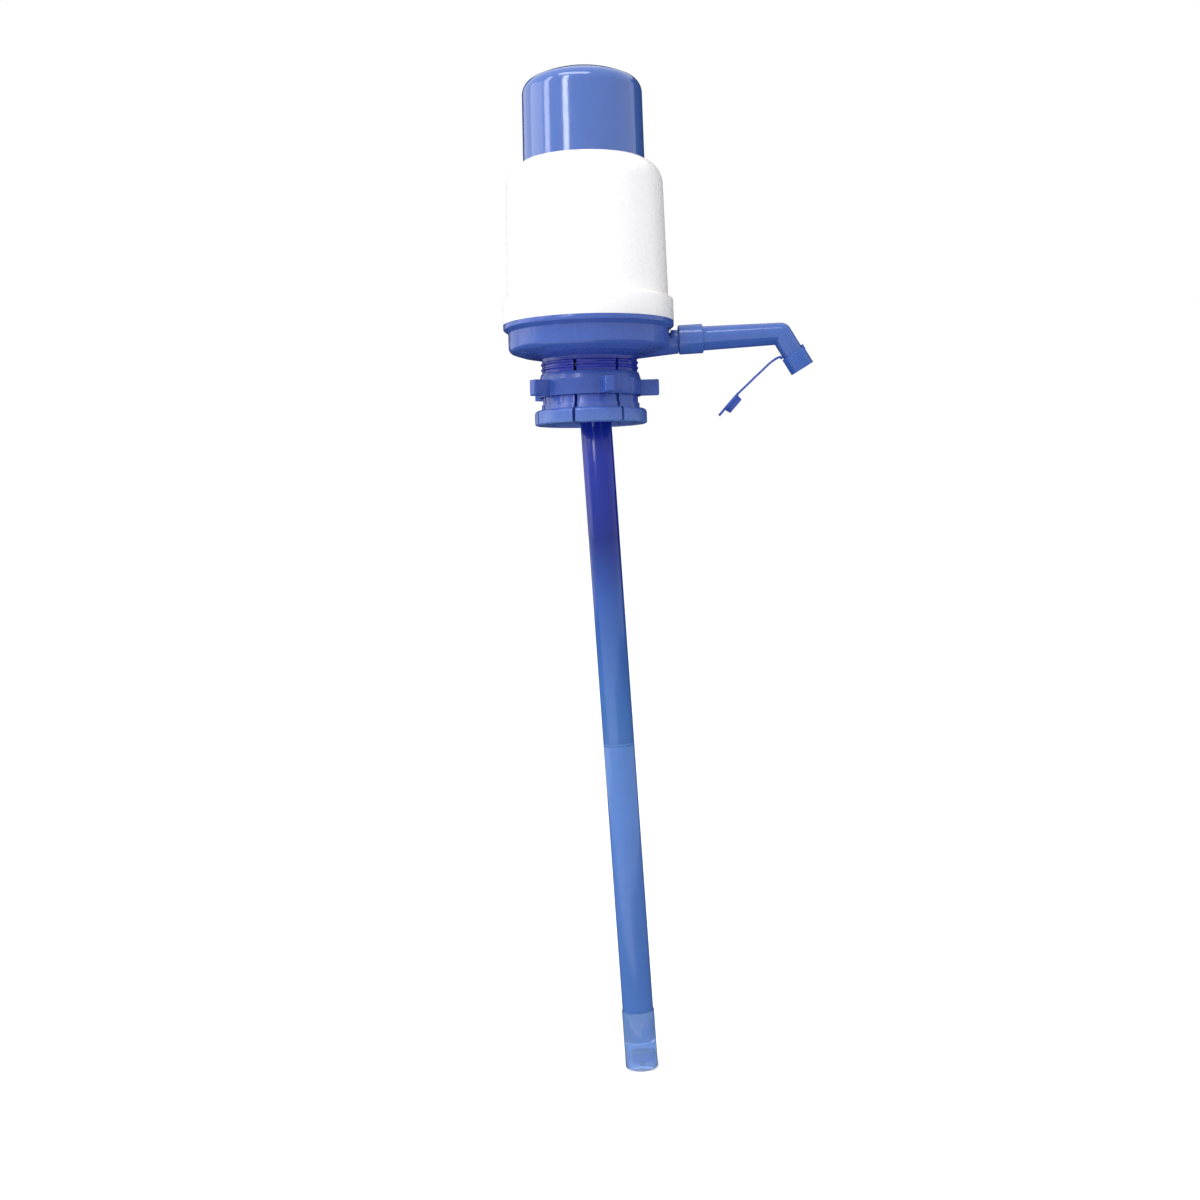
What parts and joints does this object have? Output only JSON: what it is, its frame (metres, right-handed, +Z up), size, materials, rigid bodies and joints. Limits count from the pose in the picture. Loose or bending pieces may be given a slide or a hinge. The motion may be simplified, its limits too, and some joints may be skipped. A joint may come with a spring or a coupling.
{
  "type": "water jug hand pump",
  "caption": "Hand pump for a large water jug: domed press cap in a round shell, clamping collar with a turned ring, swivel spout with a strapped stopper, and a suction tube with a foot valve.",
  "frame": {"origin": "centre of the underside of the neck gasket, where the jug's rim bears, on the neck's centre line", "axes": "+Z up along the neck's centre line, +X along the spout, +Y to the left of the spout seen from the pump"},
  "size_m": [0.1995, 0.1102, 0.6481],
  "materials": {
    "base_blue": "moulded, glossy",
    "ring_blue": "moulded, glossy",
    "cap_blue": "moulded, glossy",
    "spout_blue": "moulded, glossy",
    "tip_blue": "moulded, satin",
    "strap_blue": "soft plastic, satin",
    "shell_white": "moulded, glossy",
    "inner_white": "moulded, plain",
    "bellows_white": "soft blown plastic",
    "tube_blue": "extruded, slightly translucent",
    "joiner_blue": "moulded, glossy",
    "foot_blue": "moulded, translucent",
    "rubber_grey": "plain",
    "rubber_black": "plain",
    "valve_rubber": "silicone, plain",
    "spring_steel": "drawn wire"
  },
  "bodies": {
    "pump_base": {"base_bowl": "base_blue", "neck_gasket": "rubber_grey", "outer_shell": "shell_white", "bellows": "bellows_white", "bellows_retainer": "inner_white", "return_spring": "spring_steel", "stub_o_ring": "rubber_black", "outlet_valve_cage": "inner_white", "suction_tube_upper": "tube_blue", "suction_tube_lower": "tube_blue", "tube_joiner": "joiner_blue", "foot_housing": "foot_blue", "foot_valve_seat": "foot_blue"},
    "plunger": {"press_cap": "cap_blue", "pressure_plate": "inner_white"},
    "clamp": {"clamp_ring": "ring_blue"},
    "spout": {"spout_tube": "spout_blue", "tip_sleeve": "tip_blue"},
    "strap_near": {"strap_upper": "strap_blue"},
    "strap_far": {"strap_lower": "strap_blue", "tip_stopper": "strap_blue"},
    "outlet_disc": {"outlet_valve": "valve_rubber"},
    "foot_poppet": {"foot_valve": "valve_rubber"}
  },
  "joints": [
    {"name": "press_stroke", "type": "slide", "parent": "pump_base", "child": "plunger", "axis": [0, 0, -1], "range_m": [0, 0.045], "stiffness_N_per_m": 700, "springref_m": -0.012, "deforming": ["bellows", "return_spring"]},
    {"name": "clamp_turn", "type": "hinge", "parent": "pump_base", "child": "clamp", "pos_m": [0, 0, 0], "axis": [0, 0, 1], "range_deg": [0, 120]},
    {"name": "spout_swivel", "type": "hinge", "parent": "pump_base", "child": "spout", "pos_m": [0.054, 0, 0.0168], "axis": [0.9994, 0, 0.0349], "continuous": true},
    {"name": "strap_fold", "type": "hinge", "parent": "strap_near", "child": "strap_far", "pos_m": [0.107, 0, -0.00793], "axis": [0, -1, 0], "range_deg": [0, 127.4]},
    {"name": "strap_root_bend", "type": "hinge", "parent": "spout", "child": "strap_near", "pos_m": [0.123, 0, 0.0051], "axis": [0, -1, 0], "range_deg": [0, 35.41]},
    {"name": "outlet_valve_lift", "type": "slide", "parent": "pump_base", "child": "outlet_disc", "axis": [0.9994, 0, 0.0349], "range_m": [0, 0.002]},
    {"name": "foot_valve_lift", "type": "slide", "parent": "pump_base", "child": "foot_poppet", "axis": [-0.0433, 0, 0.9991], "range_m": [0, 0.003]}
  ],
  "couplings": [
    {"joint": "strap_root_bend", "follows": "strap_fold", "ratio": 0.27786}
  ]
}
